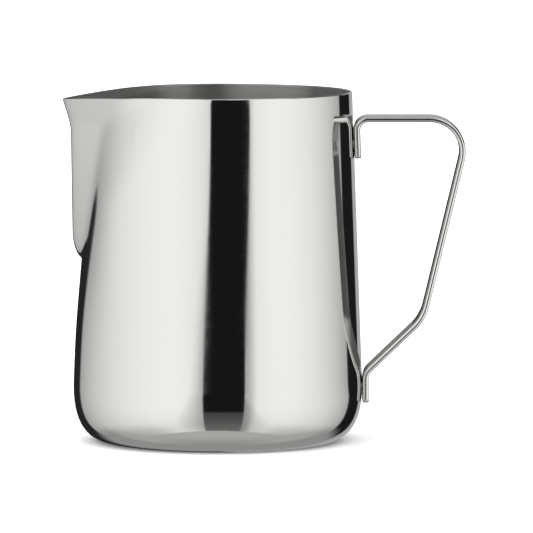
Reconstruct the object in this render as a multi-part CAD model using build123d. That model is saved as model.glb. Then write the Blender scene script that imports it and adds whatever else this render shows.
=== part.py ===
"""Milk frothing pitcher: a deep-drawn steel jug with a pressed spout and a spot-welded strap handle.

Frame: millimetres, +Z up, origin at the centre of the resting plane. The spout points to -X and
the handle to +X, so the object is symmetric about the XZ plane.
"""
import os
from math import atan, atan2, cos, degrees, exp, hypot, log, pi, sin, sqrt

from build123d import *

# Jug body
HEIGHT = 110.0
WALL = 0.8
RIM_ROUND = 0.35
FOOT_RADIUS = 34.0  # outer edge of the flat resting ring
FOOT_INNER = 27.5  # inner edge of the flat resting ring
RECESS = 1.2  # height of the raised centre of the base
RECESS_RADIUS = 25.5
BELLY_Z = 19.0  # where the rounded corner runs out into the straight taper
BELLY_RADIUS = 45.4
TAPER = 0.035  # wall radius lost per millimetre of height
CORNER_PULL_FOOT = 4.5  # how far the corner stays low beyond the foot
CORNER_PULL_BELLY = 16.5  # how far the corner follows the taper down from the belly
JOIN_STEP = 0.01  # the drawn cup is this much thinner than the wall above it, on each face

# Pressed spout
NOSE_RADIUS = 46.1  # distance of the spout's spine from the axis, just under the flare
NOSE_Z = 97.75
NOSE_TAPER = 0.0136
NOSE_ROUND = 3.0  # plan radius of the spine
FLARE_Z = 99.6  # where the lip starts to lean outwards
FLARE_SLOPE = 0.31
FLARE_SOFT = 1.2
TOE_Z = 66.0  # where the spine starts to curve back into the wall
TOE_DROP = 9.0
TOE_DEPTH = 4.0
TOE_BLEND = 1.5  # height over which the spout comes out of the wall at the toe
FLANK_SLOPE_LOW = 0.536  # slope of the spout's sides in plan, at FLANK_LOW_Z and at the rim
FLANK_SLOPE_RIM = 0.745
FLANK_LOW_Z = 61.0
FLANK_LIMIT = 0.95  # share of the angle at which a flank would run off to infinity
CREASE_SOFT = 0.35  # softness of the crease between spout and wall
LIP_DROP = 2.2  # how far the lip dips below the rim
LIP_START_X = -12.0
LIP_TIP_X = -48.7

# Wall drawn inwards on both sides of the spout
DRAW_START_Z = 34.2
DRAW_RATE = 0.0528
DRAW_SOFT = 4.0
DRAW_PEAK = 15.4  # degrees from the spout
DRAW_REACH = 43.8
DRAW_SPREAD = 1.42  # more degrees of reach for each millimetre above DRAW_SPREAD_Z
DRAW_SPREAD_Z = 77.9

# Handle strap
STRAP_WIDTH = 12.0
STRAP_THICK = 2.0
STANDOFF = 0.06  # gap between strap and wall at the tab's middle
BAR_Z = 101.5
TAB_TOP_END_Z = 89.1
GRIP_TOP_X = 79.55
ELBOW = (64.5, 38.9)
HEEL_Z = 21.7
TAB_LOW_END_Z = 12.2
BEND_RADII = (3.4, 10.3, 14.0, 5.0)
TAB_CORNER = 1.4

# Spot welds
WELD_UPPER_Z = 93.5
WELD_LOWER_Z = 17.1
WELD_SPACING = 6.0
NUGGET_DIAMETER = 3.2
NUGGET_IN_WALL = 0.45
NUGGET_IN_STRAP = 0.9
DIMPLE_DIAMETER = 2.6
DIMPLE_DEPTH = 0.15

# Sections of the wall's loft
SECTION_POINTS = 96
SECTION_CROWDING = 0.62
SECTION_PROBE = 0.005  # turn, in radians, over which a section's direction is measured
SECTION_HEIGHTS = (
    BELLY_Z, 26, 33, 40, 46, 50, 53, 55.5, 57.5, 59.5, 62,
    65.5, 70, 76, 82, 88, 93, 97, 100, 103, 107, 112,
)
CUT_MARGIN = 10.0  # how far cutting tools reach past the metal


def ramp(value, softness):
    """Zero below 0 and equal to value above, with a rounded start."""
    if value > 30 * softness:
        return value
    return softness * log(1 + exp(value / softness))


def rise(value):
    """Smooth step from 0 to 1."""
    value = min(max(value, 0.0), 1.0)
    return value * value * (3 - 2 * value)


def wall_radius(z):
    """Outer radius of the plain tapered wall."""
    return BELLY_RADIUS - TAPER * (z - BELLY_Z)


def drawn_in_radius(angle, z):
    """Wall radius where the spout's pressing has drawn it inwards."""
    depth = DRAW_RATE * ramp(z - DRAW_START_Z, DRAW_SOFT)
    reach = DRAW_REACH + DRAW_SPREAD * ramp(z - DRAW_SPREAD_Z, DRAW_SOFT)
    away = min(max((degrees(angle) - DRAW_PEAK) / (reach - DRAW_PEAK), 0.0), 1.0)
    return wall_radius(z) - depth * cos(away * pi / 2) ** 2


def spine_radius(z):
    """Distance of the spout's spine from the axis."""
    spine = NOSE_RADIUS + NOSE_TAPER * (z - NOSE_Z)
    spine += FLARE_SLOPE * ramp(z - FLARE_Z, FLARE_SOFT)
    toe = min(max((TOE_Z - z) / TOE_DROP, 0.0), 1.0)
    return spine - TOE_DEPTH * (1 - sqrt(1 - toe * toe))


def flank_radius(angle, z):
    """Radius of the spout's two sides, a rounded V in plan, as far as their point nearest the axis."""
    high = (z - FLANK_LOW_Z) / (HEIGHT - FLANK_LOW_Z)
    slope = FLANK_SLOPE_LOW + (FLANK_SLOPE_RIM - FLANK_SLOPE_LOW) * high
    offset = NOSE_ROUND * slope**2
    apex = spine_radius(z) + offset
    angle = min(angle, FLANK_LIMIT * atan(slope))
    across = cos(angle) ** 2 - (slope * sin(angle)) ** 2
    root = sqrt((apex * cos(angle)) ** 2 - across * (apex**2 - offset**2))
    return (apex * cos(angle) - root) / across


def outer_radius(angle, z):
    """Outer radius of the jug at an angle from the spout and a height."""
    wall = drawn_in_radius(angle, z)
    if z < TOE_Z - TOE_DROP:
        return wall
    spout = ramp(flank_radius(angle, z) - wall, CREASE_SOFT)
    return wall + spout * rise((z - TOE_Z + TOE_DROP) / TOE_BLEND)


def section_angle(step):
    """Angle from the spout at a step round the section, closer together at the spout."""
    turn = 2 * pi * step / SECTION_POINTS
    return turn - SECTION_CROWDING * sin(turn)


def section_point(step, z, inset):
    """Point of the wall's plan section, moved inwards by inset at right angles to the wall."""
    def outside(turn):
        fold = abs(atan2(sin(turn), cos(turn)))
        radius = outer_radius(fold, z)
        return -radius * cos(turn), radius * sin(turn)

    angle = section_angle(step)
    x, y = outside(angle)
    ahead = outside(angle + SECTION_PROBE)
    behind = outside(angle - SECTION_PROBE)
    along_x = ahead[0] - behind[0]
    along_y = ahead[1] - behind[1]
    length = hypot(along_x, along_y)
    return Vector(x + inset * along_y / length, y - inset * along_x / length, z)


def wall_section(z, inset):
    """Closed smooth wire of the wall at one height."""
    steps = range(SECTION_POINTS)
    points = [section_point(step, z, inset) for step in steps]
    knots = [step / SECTION_POINTS for step in range(SECTION_POINTS + 1)]
    return Wire([Edge.make_spline(points, periodic=True, parameters=knots)])


def wall_solid(inset):
    """Solid inside the wall's surface, from the belly to above the rim."""
    return Solid.make_loft([wall_section(z, inset) for z in SECTION_HEIGHTS])


def corner_curve(inset):
    """Bottom corner's profile, from the foot to the belly, moved inwards by inset."""
    lean = atan2(TAPER, 1)
    foot = (FOOT_RADIUS, inset)
    belly = (BELLY_RADIUS - inset * cos(lean), BELLY_Z)
    pull_foot = (foot[0] + CORNER_PULL_FOOT, foot[1])
    pull_belly = (belly[0] + TAPER * (CORNER_PULL_BELLY - inset), BELLY_Z - CORNER_PULL_BELLY + inset)
    return Bezier(foot, pull_foot, pull_belly, belly)


def base_cup():
    """Base and bottom corner of the jug, up to the belly, with a tongue that reaches into the wall."""
    outside = Pos(0, -JOIN_STEP) * corner_curve(JOIN_STEP)
    inside = corner_curve(WALL - JOIN_STEP)
    centre_low = (0, RECESS)
    centre_high = (0, RECESS + WALL)
    bottom = Polyline(centre_low, (RECESS_RADIUS, RECESS), (FOOT_INNER, 0), outside @ 0)
    top = Polyline(inside @ 0, (FOOT_INNER, WALL), (RECESS_RADIUS, RECESS + WALL), centre_high)
    tongue_out = BELLY_RADIUS - WALL / 4
    tongue_in = BELLY_RADIUS - 3 * WALL / 4
    tongue_z = BELLY_Z + WALL
    tongue = Polyline(
        outside @ 1,
        (tongue_out, BELLY_Z),
        (tongue_out, tongue_z),
        (tongue_in, tongue_z),
        (tongue_in, BELLY_Z),
        inside @ 1,
    )
    edges = [bottom, outside, tongue, inside, top, Line(centre_high, centre_low)]
    profile = make_face(Plane.XZ * Curve(children=edges))
    return revolve(profile, Axis.Z)


def rim_cutter():
    """Everything above the rim, which dips in a parabola to the lip."""
    reach = LIP_TIP_X - LIP_START_X
    far_x = LIP_TIP_X - CUT_MARGIN
    far_z = HEIGHT - LIP_DROP * ((far_x - LIP_START_X) / reach) ** 2
    middle_x = (LIP_START_X + far_x) / 2
    lip = Bezier((LIP_START_X, HEIGHT), (middle_x, HEIGHT), (far_x, far_z))
    above = HEIGHT + CUT_MARGIN
    rest = Polyline(
        (far_x, far_z),
        (far_x, above),
        (GRIP_TOP_X, above),
        (GRIP_TOP_X, HEIGHT),
        (LIP_START_X, HEIGHT),
    )
    return extrude(Plane.XZ * make_face([lip, rest]), BELLY_RADIUS + CUT_MARGIN, both=True)


def nugget(side, z):
    """Spot-weld nugget: a disc of fused metal half in the wall and half in the strap."""
    radius = wall_radius(max(z, BELLY_Z))
    start = radius - NUGGET_IN_WALL
    length = STANDOFF + NUGGET_IN_WALL + NUGGET_IN_STRAP
    place = Plane(origin=(start, side * WELD_SPACING / 2, z), x_dir=(0, 1, 0), z_dir=(1, 0, 0))
    return place * Cylinder(NUGGET_DIAMETER / 2, length, align=(Align.CENTER, Align.CENTER, Align.MIN))


def jug_body(nuggets):
    """The drawn shell with its spout, less the welds' pockets."""
    wall = wall_solid(0) - wall_solid(WALL)
    shell = base_cup() + wall
    shell = shell - rim_cutter()
    lowest_rim_z = HEIGHT - LIP_DROP - WALL
    rim_edges = shell.edges().filter_by(lambda edge: edge.center().Z > lowest_rim_z)
    shell = fillet(rim_edges, RIM_ROUND)
    for weld in nuggets:
        shell = shell - weld
    return shell


def strap_line():
    """Middle line of the handle's strap, in the XZ plane."""
    reach = STANDOFF + STRAP_THICK / 2
    points = [
        (wall_radius(TAB_TOP_END_Z) + reach, TAB_TOP_END_Z),
        (wall_radius(BAR_Z) + reach, BAR_Z),
        (GRIP_TOP_X, BAR_Z),
        ELBOW,
        (BELLY_RADIUS + reach, HEEL_Z),
        (BELLY_RADIUS + reach, TAB_LOW_END_Z),
    ]
    return FilletPolyline(*[(x, 0, z) for x, z in points], radius=list(BEND_RADII))


def tab_corners(middle_x, end_z):
    """Cutter that rounds the two lower corners of a tab."""
    place = Plane(origin=(middle_x, 0, end_z), x_dir=(0, 1, 0), z_dir=(1, 0, 0))
    spare = STRAP_THICK / 2
    blank = Rectangle(STRAP_WIDTH + 2 * spare, TAB_CORNER + spare, align=(Align.CENTER, Align.MIN))
    waste = Pos(0, -spare) * blank
    kept = Pos(0, 2 * TAB_CORNER) * RectangleRounded(STRAP_WIDTH, 4 * TAB_CORNER, TAB_CORNER)
    return extrude(place * (waste - kept), STRAP_THICK, both=True)


def dimple(side, z):
    """Shallow dent that the welding electrode leaves on the strap's outer face."""
    face = wall_radius(max(z, BELLY_Z)) + STANDOFF + STRAP_THICK - DIMPLE_DEPTH
    place = Plane(origin=(face, side * WELD_SPACING / 2, z), x_dir=(0, 1, 0), z_dir=(1, 0, 0))
    return place * Cylinder(DIMPLE_DIAMETER / 2, STRAP_THICK, align=(Align.CENTER, Align.CENTER, Align.MIN))


def handle(nuggets):
    """Flat bar with rounded edges, bent to the handle's shape, less the welds' pockets."""
    line = strap_line()
    start = Plane(origin=line @ 0, x_dir=(0, 1, 0), z_dir=line % 0)
    strap = sweep(start * SlotOverall(STRAP_WIDTH, STRAP_THICK), path=line)
    strap = strap - tab_corners((line @ 0).X, TAB_TOP_END_Z) - tab_corners((line @ 1).X, TAB_LOW_END_Z)
    for weld in nuggets:
        strap = strap - weld
    for z in (WELD_UPPER_Z, WELD_LOWER_Z):
        for side in (-1, 1):
            strap = strap - dimple(side, z)
    return strap


def weld_nuggets():
    """The four spot welds, by name."""
    welds = {}
    for level, z in (("upper", WELD_UPPER_Z), ("lower", WELD_LOWER_Z)):
        for name, side in (("left", -1), ("right", 1)):
            welds[f"weld_nugget_{level}_{name}"] = nugget(side, z)
    return welds


def main():
    """Write one STEP file per piece."""
    os.makedirs("parts", exist_ok=True)
    pieces = weld_nuggets()
    nuggets = list(pieces.values())
    pieces["jug_body"] = jug_body(nuggets)
    pieces["handle"] = handle(nuggets)
    for name, shape in pieces.items():
        export_step(shape, f"parts/{name}.step")
        print(name, round(shape.volume, 2), shape.bounding_box())


main()
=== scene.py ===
"""Milk frothing pitcher: its looks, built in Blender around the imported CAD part.

The jug's shell and the handle's strap are rebuilt as fine meshes from the same dimensions as the CAD
part, so that their polished surfaces reflect smoothly. The CAD weld nuggets stay and get a material.
Shapes are worked out in millimetres, and add_piece() turns them into metres.
"""
import math

import bpy
import numpy as np
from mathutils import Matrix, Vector


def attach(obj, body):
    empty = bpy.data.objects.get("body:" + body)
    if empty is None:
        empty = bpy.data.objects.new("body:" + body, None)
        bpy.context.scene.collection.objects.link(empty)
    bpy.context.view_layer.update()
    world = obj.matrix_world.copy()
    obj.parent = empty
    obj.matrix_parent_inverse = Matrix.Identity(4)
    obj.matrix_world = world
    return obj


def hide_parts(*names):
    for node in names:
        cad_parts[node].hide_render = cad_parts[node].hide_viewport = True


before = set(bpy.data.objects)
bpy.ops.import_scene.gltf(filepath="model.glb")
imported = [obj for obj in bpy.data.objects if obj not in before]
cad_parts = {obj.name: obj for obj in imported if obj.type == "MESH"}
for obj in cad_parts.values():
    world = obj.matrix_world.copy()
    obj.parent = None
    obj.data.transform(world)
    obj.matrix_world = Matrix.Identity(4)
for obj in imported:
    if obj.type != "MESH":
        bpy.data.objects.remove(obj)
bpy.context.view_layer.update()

MM = 0.001

# Jug body
HEIGHT = 110.0
WALL = 0.8
RIM_ROUND = 0.35
FOOT_RADIUS = 34.0
FOOT_INNER = 27.5
RECESS = 1.2
RECESS_RADIUS = 25.5
BELLY_Z = 19.0
BELLY_RADIUS = 45.4
TAPER = 0.035
CORNER_PULL_FOOT = 4.5
CORNER_PULL_BELLY = 16.5

# Pressed spout
NOSE_RADIUS = 46.1
NOSE_Z = 97.75
NOSE_TAPER = 0.0136
NOSE_ROUND = 3.0
FLARE_Z = 99.6
FLARE_SLOPE = 0.31
FLARE_SOFT = 1.2
TOE_Z = 66.0
TOE_DROP = 9.0
TOE_DEPTH = 4.0
TOE_BLEND = 1.5
FLANK_SLOPE_LOW = 0.536
FLANK_SLOPE_RIM = 0.745
FLANK_LOW_Z = 61.0
FLANK_LIMIT = 0.95  # share of the angle at which a flank would run off to infinity
CREASE_SOFT = 0.35
LIP_DROP = 2.2
LIP_START_X = -12.0
LIP_TIP_X = -48.7

# Wall drawn inwards on both sides of the spout
DRAW_START_Z = 34.2
DRAW_RATE = 0.0528
DRAW_SOFT = 4.0
DRAW_PEAK = 15.4  # degrees from the spout
DRAW_REACH = 43.8
DRAW_SPREAD = 1.42  # more degrees of reach for each millimetre above DRAW_SPREAD_Z
DRAW_SPREAD_Z = 77.9

# Handle strap
STRAP_WIDTH = 12.0
STRAP_THICK = 2.0
STANDOFF = 0.06
BAR_Z = 101.5
TAB_TOP_END_Z = 89.1
GRIP_TOP_X = 79.55
ELBOW = (64.5, 38.9)
HEEL_Z = 21.7
TAB_LOW_END_Z = 12.2
BEND_RADII = (3.4, 10.3, 14.0, 5.0)
TAB_CORNER = 1.4
END_ROUND = 0.25
WELD_UPPER_Z = 93.5
WELD_LOWER_Z = 17.1
WELD_SPACING = 6.0
DIMPLE_RADIUS = 1.5
DIMPLE_DEPTH = 0.15

# Mesh fineness
TURN_STEPS = 288
TURN_CROWDING = 0.62
LEVEL_ABOVE = 96.0  # mesh rows are level up to here, and follow the dipping lip above it


# ---------------------------------------------------------------- the jug's surface

def ramp(value, softness):
    """Zero below 0 and equal to value above, with a rounded start."""
    return softness * np.logaddexp(0.0, value / softness)


def rise(value):
    """Smooth step from 0 to 1."""
    value = np.clip(value, 0.0, 1.0)
    return value * value * (3 - 2 * value)


def wall_radius(z):
    """Outer radius of the plain tapered wall."""
    return BELLY_RADIUS - TAPER * (z - BELLY_Z)


def drawn_in_radius(fold, z):
    """Wall radius where the spout's pressing has drawn it inwards, at an angle from the spout."""
    depth = DRAW_RATE * ramp(z - DRAW_START_Z, DRAW_SOFT)
    reach = DRAW_REACH + DRAW_SPREAD * ramp(z - DRAW_SPREAD_Z, DRAW_SOFT)
    away = np.clip((np.degrees(fold) - DRAW_PEAK) / (reach - DRAW_PEAK), 0.0, 1.0)
    return wall_radius(z) - depth * np.cos(away * np.pi / 2) ** 2


def spine_radius(z):
    """Distance of the spout's spine from the axis."""
    spine = NOSE_RADIUS + NOSE_TAPER * (z - NOSE_Z)
    spine = spine + FLARE_SLOPE * ramp(z - FLARE_Z, FLARE_SOFT)
    toe = np.clip((TOE_Z - z) / TOE_DROP, 0.0, 1.0)
    return spine - TOE_DEPTH * (1 - np.sqrt(1 - toe * toe))


def flank_radius(fold, z):
    """Radius of the spout's two sides, a rounded V in plan."""
    high = (z - FLANK_LOW_Z) / (HEIGHT - FLANK_LOW_Z)
    slope = FLANK_SLOPE_LOW + (FLANK_SLOPE_RIM - FLANK_SLOPE_LOW) * high
    offset = NOSE_ROUND * slope**2
    apex = spine_radius(z) + offset
    fold = np.minimum(fold, FLANK_LIMIT * np.arctan(slope))
    across = np.cos(fold) ** 2 - (slope * np.sin(fold)) ** 2
    root = np.sqrt((apex * np.cos(fold)) ** 2 - across * (apex**2 - offset**2))
    return (apex * np.cos(fold) - root) / across


def outside(turn, z):
    """Points of the jug's outer surface at turns round from the spout and heights."""
    fold = np.abs(np.arctan2(np.sin(turn), np.cos(turn)))
    wall = drawn_in_radius(fold, z)
    spout = ramp(flank_radius(fold, z) - wall, CREASE_SOFT)
    radius = wall + spout * rise((z - TOE_Z + TOE_DROP) / TOE_BLEND)
    return np.stack([-radius * np.cos(turn), radius * np.sin(turn), z + 0 * radius], -1)


def unit(vectors):
    """The vectors at length 1."""
    return vectors / np.linalg.norm(vectors, axis=-1, keepdims=True)


def outside_frame(turn, z):
    """Point of the outer surface, its normal, and the normal of its level section."""
    step = 1e-3
    along = outside(turn + step, z) - outside(turn - step, z)
    upwards = outside(turn, z + step) - outside(turn, z - step)
    level = np.stack([-along[..., 1], along[..., 0], 0 * along[..., 0]], -1)
    return outside(turn, z), unit(np.cross(upwards, along)), unit(level)


def rim_height(x):
    """Height of the rim, which dips in a parabola to the lip."""
    share = np.minimum(x - LIP_START_X, 0.0) / (LIP_TIP_X - LIP_START_X)
    return HEIGHT - LIP_DROP * share**2


def rim_at(turn):
    """Height of the rim at each turn."""
    z = np.full_like(turn, HEIGHT)
    for _ in range(6):
        z = rim_height(outside(turn, z)[..., 0])
    return z


def wall_levels(stretches):
    """Heights from a list of (start, end, spacing)."""
    levels = [np.arange(start, end, spacing) for start, end, spacing in stretches]
    return np.concatenate(levels + [[stretches[-1][1]]])


def fitted(levels, top):
    """The levels as rows, with those above LEVEL_ABOVE spread to end at each turn's top."""
    share = np.maximum(levels - LEVEL_ABOVE, 0.0) / (HEIGHT - LEVEL_ABOVE)
    low = np.minimum(levels, LEVEL_ABOVE)
    return low[:, None] + share[:, None] * (top - LEVEL_ABOVE)[None, :]


def bezier(points, t):
    """Points and directions of a cubic Bezier curve in radius and height."""
    a, b, c, d = [np.array(p)[None, :] for p in points]
    t = t[:, None]
    place = (1 - t) ** 3 * a + 3 * t * (1 - t) ** 2 * b + 3 * t**2 * (1 - t) * c + t**3 * d
    going = (1 - t) ** 2 * (b - a) + 2 * t * (1 - t) * (c - b) + t**2 * (d - c)
    return place, unit(going)


def corner_rows(inset, count):
    """The rounded bottom corner from foot to belly: points and directions in radius and height."""
    foot = (FOOT_RADIUS, inset)
    belly = (BELLY_RADIUS - inset, BELLY_Z)
    pull_foot = (foot[0] + CORNER_PULL_FOOT, inset)
    pull_belly = (belly[0] + TAPER * (CORNER_PULL_BELLY - inset), BELLY_Z - CORNER_PULL_BELLY + inset)
    return bezier((foot, pull_foot, pull_belly, belly), np.linspace(0, 1, count))


def floor_rows(inset):
    """The base from its centre to the foot: raised middle, soft step and flat resting ring."""
    middle = np.linspace(1.0, RECESS_RADIUS, 10)
    step = np.linspace(RECESS_RADIUS, FOOT_INNER, 9)[1:]
    ring = np.linspace(FOOT_INNER, FOOT_RADIUS, 5)[1:-1]
    radius = np.concatenate([middle, step, ring])
    share = rise((FOOT_INNER - radius) / (FOOT_INNER - RECESS_RADIUS))
    place = np.stack([radius, inset + RECESS * share], -1)
    ahead = rise((FOOT_INNER - radius - 0.01) / (FOOT_INNER - RECESS_RADIUS))
    going = np.stack([np.full_like(radius, 0.01), RECESS * (ahead - share)], -1)
    return place, unit(going)


def revolved(rows, turn, side):
    """Grid and normals of profile rows turned about the axis. Side is 1 outside and -1 inside."""
    place, going = rows
    spoke = np.stack([-np.cos(turn), np.sin(turn)], -1)
    points = np.zeros((len(place), len(turn), 3))
    normals = np.zeros_like(points)
    points[..., :2] = place[:, 0, None, None] * spoke
    points[..., 2] = place[:, 1, None]
    normals[..., :2] = side * going[:, 1, None, None] * spoke
    normals[..., 2] = -side * going[:, 0, None]
    return points, normals


def rim_rows(turn, top):
    """The rounded rim, from its outer to its inner side."""
    points, normals = [], []
    for side in (1, -1):
        foot_z = top - RIM_ROUND
        for _ in range(3):
            place, normal, level = outside_frame(turn, foot_z)
            foot_z = top - RIM_ROUND * (1 - side * normal[..., 2])
        start = place - (0 if side > 0 else WALL) * level
        centre = start - side * RIM_ROUND * normal
        lean = side * np.arcsin(normal[..., 2])
        for share in np.linspace(0, 1, 7):
            swing = lean + (np.pi / 2 - lean) * (share if side > 0 else 1 - share)
            ray = side * np.cos(swing)[:, None] * level
            ray[..., 2] += np.sin(swing)
            points.append(centre + RIM_ROUND * ray)
            normals.append(ray)
        if side > 0:
            outer_foot = foot_z
    return np.array(points), np.array(normals), outer_foot, foot_z


def jug_grid():
    """Rows of points and normals from the base's centre, up the outside, over the rim and down inside."""
    steps = np.arange(TURN_STEPS) * 2 * np.pi / TURN_STEPS
    turn = steps - TURN_CROWDING * np.sin(steps)
    top = rim_at(turn)
    rim, rim_normals, outer_top, inner_top = rim_rows(turn, top)

    fine = wall_levels([(BELLY_Z + 0.9, 54, 1.4), (54, 68, 0.45), (68, 94, 1.3), (94, HEIGHT, 0.55)])
    coarse = wall_levels([(BELLY_Z + 0.9, 54, 2.5), (54, 68, 0.8), (68, 94, 2.4), (94, HEIGHT, 1.0)])
    out_z = fitted(fine, outer_top)[:-1]
    out_points, out_normals, _ = outside_frame(turn[None, :] + 0 * out_z, out_z)
    in_z = fitted(coarse, inner_top)[:-1]
    in_points, in_normals, in_level = outside_frame(turn[None, :] + 0 * in_z, in_z)
    in_points = in_points - WALL * in_level

    base = revolved(floor_rows(0), turn, 1)
    corner = revolved(corner_rows(0, 30), turn, 1)
    inner_corner = revolved(corner_rows(WALL, 20), turn, -1)
    inner_base = revolved(floor_rows(WALL), turn, -1)
    points = [base[0], corner[0], out_points, rim]
    normals = [base[1], corner[1], out_normals, rim_normals]
    outside_count = sum(len(block) for block in points) - len(rim) // 2
    points += [in_points[::-1], inner_corner[0][::-1], inner_base[0][::-1]]
    normals += [-in_normals[::-1], inner_corner[1][::-1], inner_base[1][::-1]]
    return np.concatenate(points), np.concatenate(normals), outside_count


# ---------------------------------------------------------------- the handle's surface

def strap_runs():
    """Straight runs and bends of the strap's middle line: (x, z, heading, length, curvature) of each."""
    reach = STANDOFF + STRAP_THICK / 2
    corners = [
        (wall_radius(TAB_TOP_END_Z) + reach, TAB_TOP_END_Z),
        (wall_radius(BAR_Z) + reach, BAR_Z),
        (GRIP_TOP_X, BAR_Z),
        ELBOW,
        (BELLY_RADIUS + reach, HEEL_Z),
        (BELLY_RADIUS + reach, TAB_LOW_END_Z),
    ]
    headings = [math.atan2(b[1] - a[1], b[0] - a[0]) for a, b in zip(corners, corners[1:])]
    turns = [b - a for a, b in zip(headings, headings[1:])]
    cuts = [0.0] + [r * math.tan(abs(t) / 2) for r, t in zip(BEND_RADII, turns)] + [0.0]
    runs = []
    for i, (start, end) in enumerate(zip(corners, corners[1:])):
        heading = headings[i]
        x = start[0] + cuts[i] * math.cos(heading)
        z = start[1] + cuts[i] * math.sin(heading)
        length = math.dist(start, end) - cuts[i] - cuts[i + 1]
        runs.append((x, z, heading, length, 0.0))
        if i < len(turns):
            x += length * math.cos(heading)
            z += length * math.sin(heading)
            bend = math.copysign(1 / BEND_RADII[i], turns[i])
            runs.append((x, z, heading, turns[i] / bend, bend))
    return runs


def strap_middle(runs, s):
    """Middle line's point and heading at distances s along it."""
    x, z, heading = np.zeros_like(s), np.zeros_like(s), np.zeros_like(s)
    start = 0.0
    for i, (x0, z0, heading0, length, bend) in enumerate(runs):
        here = s >= start if i else np.full(s.shape, True)
        t = s[here] - start
        heading[here] = heading0 + bend * t
        if bend:
            x[here] = x0 + (np.sin(heading[here]) - math.sin(heading0)) / bend
            z[here] = z0 - (np.cos(heading[here]) - math.cos(heading0)) / bend
        else:
            x[here] = x0 + t * math.cos(heading0)
            z[here] = z0 + t * math.sin(heading0)
        start += length
    return x, z, heading


def rounded_in(from_end, radius):
    """How far a corner of this radius draws an edge in, at a distance from the strap's end."""
    away = np.clip(radius - from_end, 0.0, radius)
    return radius - np.sqrt(np.maximum(radius**2 - away**2, 0.0))


def strap_point(runs, total, s, u):
    """Points of the strap's surface at distances s along it and at u round its section, from 0 to 4."""
    u = np.mod(u, 4.0)
    s = np.clip(s, 0.0, total)
    x, z, heading = strap_middle(runs, s)
    from_end = np.minimum(s, total - s)
    closing = rounded_in(from_end, END_ROUND)
    half_thick = STRAP_THICK / 2 - closing
    half_width = STRAP_WIDTH / 2 - rounded_in(from_end, TAB_CORNER) - closing
    side, part = np.floor(u), np.mod(u, 1.0)
    swing = np.pi * part
    flat = np.choose(side.astype(int), [2 * part - 1, 1 + 0 * part, 1 - 2 * part, -1 + 0 * part])
    bulge = np.choose(side.astype(int), [0 * part, np.sin(swing), 0 * part, -np.sin(swing)])
    lift = np.choose(side.astype(int), [1 + 0 * part, np.cos(swing), -1 + 0 * part, -np.cos(swing)])
    y = flat * (half_width - half_thick) + half_thick * bulge
    lift = lift * half_thick
    for weld_z, face in ((WELD_UPPER_Z, 0), (WELD_LOWER_Z, 2)):
        gap = np.hypot(np.abs(y) - WELD_SPACING / 2, z - weld_z)
        dent = DIMPLE_DEPTH * (1 - rise(gap / DIMPLE_RADIUS)) * (side == face) * (x < ELBOW[0])
        lift = lift - np.sign(lift) * dent
    return np.stack([x + lift * np.sin(heading), y, z - lift * np.cos(heading)], -1)


def strap_stations(runs):
    """Distances along the strap of the mesh's rows: close at the ends, the tabs and the bends."""
    stations, start = [], 0.0
    last = len(runs) - 1
    for i, (_, _, _, length, bend) in enumerate(runs):
        spacing = 0.3 if i in (0, last) else 3.0
        if bend:
            spacing = math.radians(4) / abs(bend)
        count = max(2, round(length / spacing))
        stations.append(start + length * np.arange(count) / count)
        start += length
    ends = np.array([0.0, 0.01, 0.04, 0.09, 0.16])
    inner = np.concatenate(stations)
    inner = inner[(inner > END_ROUND * 0.9) & (inner < start - END_ROUND * 0.9)]
    return np.concatenate([ends, inner, start - ends[::-1]]), start


def strap_grid():
    """Rows of points and normals of the strap."""
    runs = strap_runs()
    stations, total = strap_stations(runs)
    flat = np.arange(30) / 30
    edge = np.arange(12) / 12
    u = np.concatenate([flat, 1 + edge, 2 + flat, 3 + edge])
    s, u = np.meshgrid(stations, u, indexing="ij")
    step = 1e-3
    points = strap_point(runs, total, s, u)
    along = strap_point(runs, total, s + step, u) - strap_point(runs, total, s - step, u)
    across = strap_point(runs, total, s, u + step) - strap_point(runs, total, s, u - step)
    return points, unit(np.cross(across, along))


# ---------------------------------------------------------------- meshes

def grid_faces(rows, columns):
    """Quads of a grid that closes on itself sideways."""
    r, c = np.meshgrid(np.arange(rows - 1), np.arange(columns), indexing="ij")
    after = (c + 1) % columns
    quads = [r * columns + c, (r + 1) * columns + c, (r + 1) * columns + after, r * columns + after]
    return np.stack(quads, -1).reshape(-1, 4)


def add_piece(name, points, normals, faces, materials, face_materials, body, node):
    """Smooth mesh from points in millimetres, riding on a CAD body and standing for a CAD node."""
    mesh = bpy.data.meshes.new(name)
    mesh.from_pydata((points * MM).tolist(), [], faces)
    for material in materials:
        mesh.materials.append(material)
    mesh.polygons.foreach_set("material_index", face_materials)
    mesh.shade_smooth()
    mesh.normals_split_custom_set_from_vertices(normals.tolist())
    mesh.update()
    piece = bpy.data.objects.new(name, mesh)
    bpy.context.scene.collection.objects.link(piece)
    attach(piece, body)
    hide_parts(node)
    return piece


def add_jug(polished, brushed_painted_shade):
    """The jug's shell, polished outside and brushed inside, with the inside's colour darkened as painted
    shade.
    """
    points, normals, outside_rows = jug_grid()
    rows, columns, _ = points.shape
    faces = grid_faces(rows, columns).tolist()
    inside = np.repeat(np.arange(rows - 1) >= outside_rows, columns).astype(int).tolist()
    under, floor = rows * columns, rows * columns + 1
    last = (rows - 1) * columns
    for c in range(columns):
        after = (c + 1) % columns
        faces.append([under, c, after])
        faces.append([last + c, floor, last + after])
        inside += [0, 1]
    centres = [[0, 0, RECESS], [0, 0, RECESS + WALL]]
    points = np.concatenate([points.reshape(-1, 3), centres])
    normals = np.concatenate([normals.reshape(-1, 3), [[0, 0, -1], [0, 0, 1]]])
    return add_piece("jug_shell", points, normals, faces, [polished, brushed_painted_shade], inside,
                     "root", "jug_body")


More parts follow.
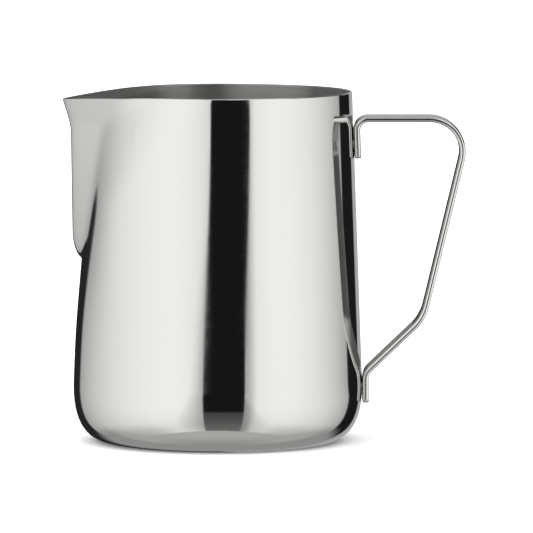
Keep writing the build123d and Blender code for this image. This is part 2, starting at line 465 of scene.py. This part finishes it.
def add_strap(steel):
    """The handle's strap."""
    points, normals = strap_grid()
    rows, columns, _ = points.shape
    faces = grid_faces(rows, columns)[:, ::-1].tolist()
    last = (rows - 1) * columns
    faces.append(list(reversed(range(columns))))
    faces.append([last + c for c in range(columns)])
    return add_piece("handle_strap", points.reshape(-1, 3), normals.reshape(-1, 3), faces, [steel],
                     [0] * len(faces), "root", "handle")


# ---------------------------------------------------------------- materials

class Nodes:
    """Short ways to add and join shader nodes."""

    def __init__(self, tree):
        self.tree = tree
        tree.nodes.clear()

    def add(self, kind, inputs=(), **settings):
        """A node with its settings and inputs, where an input is a value or another node's socket."""
        node = self.tree.nodes.new(kind)
        for name, value in settings.items():
            setattr(node, name, value)
        for key, value in dict(inputs).items():
            if isinstance(value, bpy.types.NodeSocket):
                self.tree.links.new(value, node.inputs[key])
            else:
                node.inputs[key].default_value = value
        return node

    def math(self, operation, a, b=0.0, c=0.0):
        """A Math node's result."""
        return self.add("ShaderNodeMath", {0: a, 1: b, 2: c}, operation=operation).outputs[0]

    def map(self, value, low, high, to_low, to_high, smooth=True):
        """Value moved from one range to another, held at both ends."""
        kind = "SMOOTHSTEP" if smooth else "LINEAR"
        inputs = {"Value": value, "From Min": low, "From Max": high, "To Min": to_low, "To Max": to_high}
        return self.add("ShaderNodeMapRange", inputs, interpolation_type=kind).outputs[0]

    def noise(self, coordinates, scale, detail=2.0, stretch=(1, 1, 1)):
        """Noise over coordinates that are first multiplied by stretch."""
        moved = self.add("ShaderNodeVectorMath", {0: coordinates, 1: stretch}, operation="MULTIPLY")
        inputs = {"Vector": moved.outputs[0], "Scale": scale, "Detail": detail}
        return self.add("ShaderNodeTexNoise", inputs).outputs["Fac"]


def new_material(name):
    """An empty node material and its Nodes."""
    material = bpy.data.materials.new(name)
    material.use_nodes = True
    return material, Nodes(material.node_tree)


def finish_metal(nodes, tint, tint_share, roughness, height, bump, **sockets):
    """Principled metal with two tints mixed by tint_share, a roughness and a bump from nodes."""
    tints = {"Factor": tint_share, "A": tint[0], "B": tint[1]}
    colour = nodes.add("ShaderNodeMix", tints, data_type="RGBA")
    bumped = nodes.add("ShaderNodeBump", {"Height": height, "Strength": bump, "Distance": MM})
    inputs = {"Base Color": colour.outputs["Result"], "Roughness": roughness, "Metallic": 1.0,
              "Normal": bumped.outputs[0], **sockets}
    shader = nodes.add("ShaderNodeBsdfPrincipled", inputs)
    nodes.add("ShaderNodeOutputMaterial", {"Surface": shader.outputs[0]})


def polished_steel(name, bright, bump, dullness):
    """Mirror polish with very fine rings of buffing marks and soft smudges."""
    material, nodes = new_material(name)
    place = nodes.add("ShaderNodeTexCoord").outputs["Object"]
    rings = nodes.noise(place, 1.0, 3.0, (60, 60, 5200))
    smudges = nodes.noise(place, 38.0, 4.0)
    marks = nodes.map(rings, 0.3, 0.7, 0.0, 0.025)
    roughness = nodes.math("ADD", marks, nodes.map(smudges, 0.35, 0.7, dullness, 1.5 * dullness))
    dull = [c * 0.97 for c in bright[:3]] + [1]
    finish_metal(nodes, (bright, dull), smudges, roughness, rings, bump)
    return material


def brushed_steel_painted_shade(name, bright):
    """Satin inside, brushed round the jug, so that highlights spread up and down. Its colour is darkened
    as painted shade of the jug's inside; the bands are the brushing's own tone.
    """
    material, nodes = new_material(name)
    place = nodes.add("ShaderNodeTexCoord").outputs["Object"]
    rings = nodes.noise(place, 1.0, 3.0, (50, 50, 6500))
    bands = nodes.noise(place, 1.0, 2.0, (25, 25, 900))
    roughness = nodes.map(rings, 0.3, 0.7, 0.3, 0.4)
    tangent = nodes.add("ShaderNodeTangent", direction_type="RADIAL", axis="Z").outputs[0]
    dark = [c * 0.8 for c in bright[:3]] + [1]
    across_rings = {"Anisotropic": 0.92, "Anisotropic Rotation": 0.25, "Tangent": tangent}
    finish_metal(nodes, (bright, dark), bands, roughness, rings, 0.05, **across_rings)
    return material


def weld_steel():
    """Fused spot weld, dull and slightly heat tinted."""
    material, nodes = new_material("weld_steel")
    place = nodes.add("ShaderNodeTexCoord").outputs["Object"]
    grain = nodes.noise(place, 1600.0, 4.0)
    roughness = nodes.map(grain, 0.3, 0.7, 0.3, 0.5)
    straw = (0.4, 0.38, 0.35, 1)
    finish_metal(nodes, ((0.5, 0.49, 0.47, 1), straw), grain, roughness, grain, 0.2)
    return material


# ---------------------------------------------------------------- studio

# Azimuths are degrees round from the camera's side, positive on the handle's side. Elevations are degrees.
# A soft box is its brightest azimuth, the level there, and how fast the light falls off to the left and
# to the right of it, as a cosine of that many times the angle.
LEFT_BOX = (-38.0, 1.07, 0.635, 1.12)
RIGHT_BOX = (52.0, 1.07, 1.13, 0.87)
BOXES_PART = 8.0  # azimuth where one box takes over from the other, inside the gap
RIGHT_BOX_START = (24.0, 33.0)  # the right box comes up to its full light over this stretch
RIGHT_BOX_START_SHARE = 0.6
SPOUT_CARD_EDGE = (-146.0, -141.5)  # dark card behind the left box
SPOUT_CARD_LEVEL = 0.02
HANDLE_CARD_START = (126.5, 128.5)  # dark card behind the right box
HANDLE_CARD_END = (152.0, 154.5)
HANDLE_CARD_LEVEL = 0.012
REAR_LEVEL = 0.44  # beyond the handle's card
CARDS_TURN = -3.0  # the cards on the handle's side are turned by this below the horizon
CARDS_TURN_FROM = (-9.0, -3.0)
CARDS_TURN_ROUND = (60.0, 110.0)
LOW_FALL = (-45.0, -8.0)  # the boxes dim downwards to this share
LOW_SHARE = 0.84
SIDE_FALL = (-48.0, -27.0)  # and dim once more away from the camera
SIDE_FALL_ROUND = (20.0, 70.0)
SIDE_SHARE = 0.68
# Light above the soft boxes, as (azimuth, level).
SKY = (
    (-180, 0.12), (-118, 0.12), (-110, 0.4), (-104, 0.12), (-93, 0.12), (-88, 0.9), (-20, 1.2), (-14, 0.4),
    (8, 0.4), (14, 1.15), (60, 1.15), (66, 0.8), (70, 0.07), (103, 0.07), (108, 0.12), (180, 0.12),
)
SKY_FROM = 20.0  # elevation of the soft boxes' upper edge
SKY_FROM_SIDE = 8.0
SKY_FROM_BACK = 15.0
BACK_LEVEL = 0.5  # a low strip behind, over the dark cards
BACK_FROM = 2.0
CEILING_FROM = 47.0
CEILING_LEVEL = 0.56
GAP_LEVEL = 0.009  # the dark room between the two soft boxes, behind the camera
GAP_RIGHT = 24.6
GAP_LEFT = -8.5
GAP_LEAN_FROM = -2.2  # both edges lean sideways between these two elevations
GAP_LEAN_TO = 0.4
GAP_RIGHT_LEAN = 3.0
GAP_LEFT_LEAN = 3.1
GAP_LOW_LEVELS = (0.16, 0.07)  # the floor in front of the camera, near the table and further off
GAP_LOW_TOP = -17.0
GAP_SOFT = 0.6  # half the width of a blurred edge
SHOULDER_SHARE = 0.52  # the left soft box dims towards its inner edge, over a strip that widens downwards
RIGHT_SHOULDER_SHARE = 0.68
SHOULDER_NEAR = (-2.2, -0.5, 12.0, 0.5)  # widths of the dimmed strip at two elevations
SHOULDER_FAR = (-28.0, -2.2, 14.0, 0.0)
SHOULDER_BELOW = (-60.0, -33.0)  # the left strip fades out below this
SHOULDER_ROUND = (0.0, 15.0)
RIGHT_SHOULDER = (-30.0, -4.0, 26.0, 0.5)
RIGHT_SHOULDER_ROUND = (5.0, 15.0)
TABLE_EDGE = -45.0
TABLE_EDGE_SIDE = -51.0
TABLE_EDGE_BACK = -31.0
TABLE_LEVELS = (0.48, 0.44, 0.32)  # in front, at the sides and behind
UNDER_LEVEL = 0.33
UNDER_FADE = (-90.0, -55.0)
TABLE_SIDE_ROUND = (20.0, 80.0)  # azimuths over which the table's level and edge change
TABLE_BACK_ROUND = (108.0, 128.0)
TABLE_EDGE_ROUND = (0.0, 75.0, 130.0)
TABLE_SOFT_ROUND = (30.0, 100.0)
TABLE_SOFT = (1.2, 7.0)
BEHIND_ROUND = (130.0, 140.0)
SKY_SIDE_ROUND = (40.0, 70.0)
SKY_SOFT = 2.5
CEILING_SOFT = 6.0
BACKDROP = 1.06
BRIGHTEST = 1.2  # level that a colour ramp's white stands for


def levels_round(nodes, azimuth, levels):
    """Level by azimuth, from a table of (degrees, level)."""
    around = nodes.add("ShaderNodeValToRGB", {"Fac": nodes.math("MULTIPLY_ADD", azimuth, 1 / 360, 0.5)})
    stops = around.color_ramp.elements
    for i, (angle, level) in enumerate(levels):
        position = angle / 360 + 0.5
        stop = stops[i] if i < 2 else stops.new(position)
        stop.position = position
        stop.color = [level / BRIGHTEST] * 3 + [1]
    return nodes.math("MULTIPLY", around.outputs[0], BRIGHTEST)


def soft_box(nodes, azimuth, box):
    """Level of a soft box, whose light falls off as a cosine on both sides of its brightest azimuth."""
    centre, peak, fall_left, fall_right = box
    aside = nodes.math("SUBTRACT", azimuth, centre)
    fall = nodes.map(aside, -0.01, 0.01, fall_left, fall_right, False)
    angle = nodes.math("RADIANS", nodes.math("MULTIPLY", aside, fall))
    return nodes.math("MULTIPLY", nodes.math("COSINE", angle), peak)


def blend(nodes, share, low, high):
    """Low where share is 0, high where it is 1."""
    return nodes.math("MULTIPLY_ADD", share, nodes.math("SUBTRACT", high, low), low)


def boxes_and_cards(nodes, azimuth):
    """The two soft boxes and the dark cards behind them."""
    left = soft_box(nodes, azimuth, LEFT_BOX)
    left = blend(nodes, nodes.map(azimuth, *SPOUT_CARD_EDGE, 0.0, 1.0), SPOUT_CARD_LEVEL, left)
    right = soft_box(nodes, azimuth, RIGHT_BOX)
    start = nodes.map(azimuth, *RIGHT_BOX_START, RIGHT_BOX_START_SHARE, 1.0)
    right = nodes.math("MULTIPLY", right, start)
    right = blend(nodes, nodes.map(azimuth, *HANDLE_CARD_START, 0.0, 1.0), right, HANDLE_CARD_LEVEL)
    right = blend(nodes, nodes.map(azimuth, *HANDLE_CARD_END, 0.0, 1.0), right, REAR_LEVEL)
    on_right = nodes.map(azimuth, BOXES_PART - 0.1, BOXES_PART + 0.1, 0.0, 1.0, False)
    return blend(nodes, on_right, left, right)


def around_gap(nodes, azimuth, elevation, level):
    """The dark gap between the boxes, with the dimmed strips on both sides of it."""
    lean = nodes.map(elevation, GAP_LEAN_FROM, GAP_LEAN_TO, -1.0, 1.0)
    left_edge = nodes.math("MULTIPLY_ADD", lean, GAP_LEFT_LEAN, GAP_LEFT)
    right_edge = nodes.math("MULTIPLY_ADD", lean, GAP_RIGHT_LEAN, GAP_RIGHT)
    near = nodes.map(elevation, *SHOULDER_NEAR, False)
    far = nodes.map(elevation, *SHOULDER_FAR, False)
    outer_edge = nodes.math("SUBTRACT", nodes.math("SUBTRACT", left_edge, near), far)
    shoulder = nodes.map(azimuth, outer_edge, left_edge, 1.0, SHOULDER_SHARE, False)
    high_enough = nodes.map(elevation, *SHOULDER_BELOW, 0.0, 1.0)
    here = nodes.math("MULTIPLY", high_enough, nodes.map(azimuth, *SHOULDER_ROUND, 1.0, 0.0))
    level = nodes.math("MULTIPLY", level, blend(nodes, here, 1.0, shoulder))

    right_outer = nodes.math("ADD", right_edge, nodes.map(elevation, *RIGHT_SHOULDER, False))
    right_shoulder = nodes.map(azimuth, right_edge, right_outer, RIGHT_SHOULDER_SHARE, 1.0, False)
    beside = nodes.map(azimuth, *RIGHT_SHOULDER_ROUND, 0.0, 1.0)
    level = nodes.math("MULTIPLY", level, blend(nodes, beside, 1.0, right_shoulder))

    floor_level = nodes.map(elevation, TABLE_EDGE, GAP_LOW_TOP, *GAP_LOW_LEVELS)
    low = nodes.map(elevation, GAP_LOW_TOP - 1, GAP_LOW_TOP + 1, 1.0, 0.0)
    gap_level = blend(nodes, low, GAP_LEVEL, floor_level)
    from_left = nodes.math("SUBTRACT", azimuth, left_edge)
    from_right = nodes.math("SUBTRACT", azimuth, right_edge)
    right_of = nodes.map(from_left, -GAP_SOFT, GAP_SOFT, 0.0, 1.0)
    left_of = nodes.map(from_right, -GAP_SOFT, GAP_SOFT, 1.0, 0.0)
    return blend(nodes, nodes.math("MULTIPLY", right_of, left_of), level, gap_level)


def above_the_boxes(nodes, azimuth, aside, elevation, level):
    """The strip behind, the light above the boxes and the ceiling."""
    behind = nodes.map(aside, *BEHIND_ROUND, 0.0, 1.0)
    above_cards = nodes.map(elevation, BACK_FROM - 1, BACK_FROM + 1, 0.0, 1.0)
    level = blend(nodes, nodes.math("MULTIPLY", behind, above_cards), level, BACK_LEVEL)
    sky_from = nodes.map(aside, *SKY_SIDE_ROUND, SKY_FROM, SKY_FROM_SIDE)
    sky_from = blend(nodes, behind, sky_from, SKY_FROM_BACK)
    in_sky = nodes.map(nodes.math("SUBTRACT", elevation, sky_from), -SKY_SOFT, SKY_SOFT, 0.0, 1.0)
    level = blend(nodes, in_sky, level, levels_round(nodes, azimuth, SKY))
    on_ceiling = nodes.map(elevation, CEILING_FROM - CEILING_SOFT, CEILING_FROM + CEILING_SOFT, 0.0, 1.0)
    return blend(nodes, on_ceiling, level, CEILING_LEVEL)


def over_table(nodes, aside, elevation, level):
    """The table the jug stands on, seen in its lower part."""
    front, side, back = TABLE_EDGE_ROUND
    to_side = nodes.map(aside, front, side, TABLE_EDGE, TABLE_EDGE_SIDE)
    to_back = nodes.map(aside, side, back, 0.0, TABLE_EDGE_BACK - TABLE_EDGE_SIDE)
    above_edge = nodes.math("SUBTRACT", elevation, nodes.math("ADD", to_side, to_back))
    front_level, side_level, back_level = TABLE_LEVELS
    table = nodes.map(aside, *TABLE_SIDE_ROUND, front_level, side_level)
    table = blend(nodes, nodes.map(aside, *TABLE_BACK_ROUND, 0.0, 1.0), table, back_level)
    table = blend(nodes, nodes.map(elevation, *UNDER_FADE, 0.0, 1.0), UNDER_LEVEL, table)
    softness = nodes.map(aside, *TABLE_SOFT_ROUND, *TABLE_SOFT)
    on_table = nodes.map(nodes.math("DIVIDE", above_edge, softness), -1.0, 1.0, 1.0, 0.0)
    return blend(nodes, on_table, level, table)


def studio_level(nodes, azimuth, elevation):
    """Brightness of the studio by direction, in degrees."""
    aside = nodes.math("ABSOLUTE", azimuth)
    below = nodes.map(elevation, *CARDS_TURN_FROM, CARDS_TURN, 0.0)
    turned = nodes.math("MULTIPLY", below, nodes.map(azimuth, *CARDS_TURN_ROUND, 0.0, 1.0))
    level = boxes_and_cards(nodes, nodes.math("ADD", azimuth, turned))
    level = nodes.math("MULTIPLY", level, nodes.map(elevation, *LOW_FALL, LOW_SHARE, 1.0))
    side_fall = nodes.map(elevation, *SIDE_FALL, SIDE_SHARE, 1.0)
    side_fall = blend(nodes, nodes.map(aside, *SIDE_FALL_ROUND, 0.0, 1.0), 1.0, side_fall)
    level = nodes.math("MULTIPLY", level, side_fall)
    level = around_gap(nodes, azimuth, elevation, level)
    level = above_the_boxes(nodes, azimuth, aside, elevation, level)
    return over_table(nodes, aside, elevation, level)


def build_world():
    """Studio seen in reflections, and an even white backdrop seen directly."""
    world = bpy.data.worlds.new("studio")
    world.use_nodes = True
    bpy.context.scene.world = world
    nodes = Nodes(world.node_tree)
    towards = nodes.add("ShaderNodeTexCoord").outputs["Generated"]
    parts = nodes.add("ShaderNodeSeparateXYZ", {0: towards}).outputs
    back = nodes.math("MULTIPLY", parts[1], -1.0)
    azimuth = nodes.math("DEGREES", nodes.math("ARCTAN2", parts[0], back))
    elevation = nodes.math("DEGREES", nodes.math("ARCSINE", parts[2]))
    studio = nodes.add("ShaderNodeBackground", {"Color": (1.0, 0.998, 0.985, 1),
                                                "Strength": studio_level(nodes, azimuth, elevation)})
    backdrop = nodes.add("ShaderNodeBackground", {"Color": (1, 1, 1, 1), "Strength": BACKDROP})
    direct = nodes.add("ShaderNodeLightPath").outputs["Is Camera Ray"]
    both = nodes.add("ShaderNodeMixShader", {0: direct, 1: studio.outputs[0], 2: backdrop.outputs[0]})
    nodes.add("ShaderNodeOutputWorld", {"Surface": both.outputs[0]})


def add_floor():
    """Plain white floor that the metal doesn't mirror, because the studio pattern has its own table."""
    material, nodes = new_material("floor_white")
    place = nodes.add("ShaderNodeTexCoord").outputs["Object"]
    mottle = nodes.noise(place, 6.0, 2.0)
    whites = {"Factor": mottle, "A": (0.93, 0.93, 0.93, 1), "B": (0.95, 0.95, 0.95, 1)}
    shade = nodes.add("ShaderNodeMix", whites, data_type="RGBA")
    paint = {"Base Color": shade.outputs["Result"], "Roughness": 0.9}
    shader = nodes.add("ShaderNodeBsdfPrincipled", paint)
    nodes.add("ShaderNodeOutputMaterial", {"Surface": shader.outputs[0]})
    radius, sides = 3.0, 96
    ring = [(radius * math.cos(2 * math.pi * i / sides), radius * math.sin(2 * math.pi * i / sides), 0)
            for i in range(sides)]
    mesh = bpy.data.meshes.new("floor")
    mesh.from_pydata(ring, [], [list(range(sides))])
    mesh.materials.append(material)
    floor = bpy.data.objects.new("floor", mesh)
    bpy.context.scene.collection.objects.link(floor)
    floor.visible_glossy = False


def add_overhead(strength, spread):
    """Very soft even light from above, for the floor."""
    light = bpy.data.lights.new("overhead", "SUN")
    light.energy = strength
    light.angle = math.radians(spread)
    lamp = bpy.data.objects.new("overhead", light)
    bpy.context.scene.collection.objects.link(lamp)
    lamp.visible_glossy = False


def add_camera():
    """Long lens, slightly above the rim and nearly level."""
    camera_data = bpy.data.cameras.new("camera")
    camera_data.lens = 455.0
    camera_data.sensor_width = 36.0
    camera_data.clip_end = 50.0
    camera = bpy.data.objects.new("camera", camera_data)
    bpy.context.scene.collection.objects.link(camera)
    eye = Vector((15.3, -2110.0, 235.0)) * MM
    target = Vector((15.3, 0.0, 54.8)) * MM
    camera.location = eye
    camera.rotation_euler = (target - eye).to_track_quat("-Z", "Y").to_euler()
    bpy.context.scene.camera = camera


STEEL = (0.80, 0.80, 0.79, 1)

polished = polished_steel("jug_polished", STEEL, 0.0008, 0.035)
# The inside's steel colour is darker than the outside's: painted shade of the jug's inside.
brushed_painted_shade = brushed_steel_painted_shade("jug_brushed_painted_shade", (0.56, 0.56, 0.55, 1))
strap_steel = polished_steel("handle_polished", (0.78, 0.78, 0.77, 1), 0.003, 0.11)
weld = weld_steel()
add_jug(polished, brushed_painted_shade)
add_strap(strap_steel)
for node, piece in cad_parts.items():
    if node.startswith("weld_nugget"):
        piece.data.materials.clear()
        piece.data.materials.append(weld)
build_world()
add_floor()
add_overhead(4.2, 120)
add_camera()
bpy.context.scene.view_settings.view_transform = "Standard"
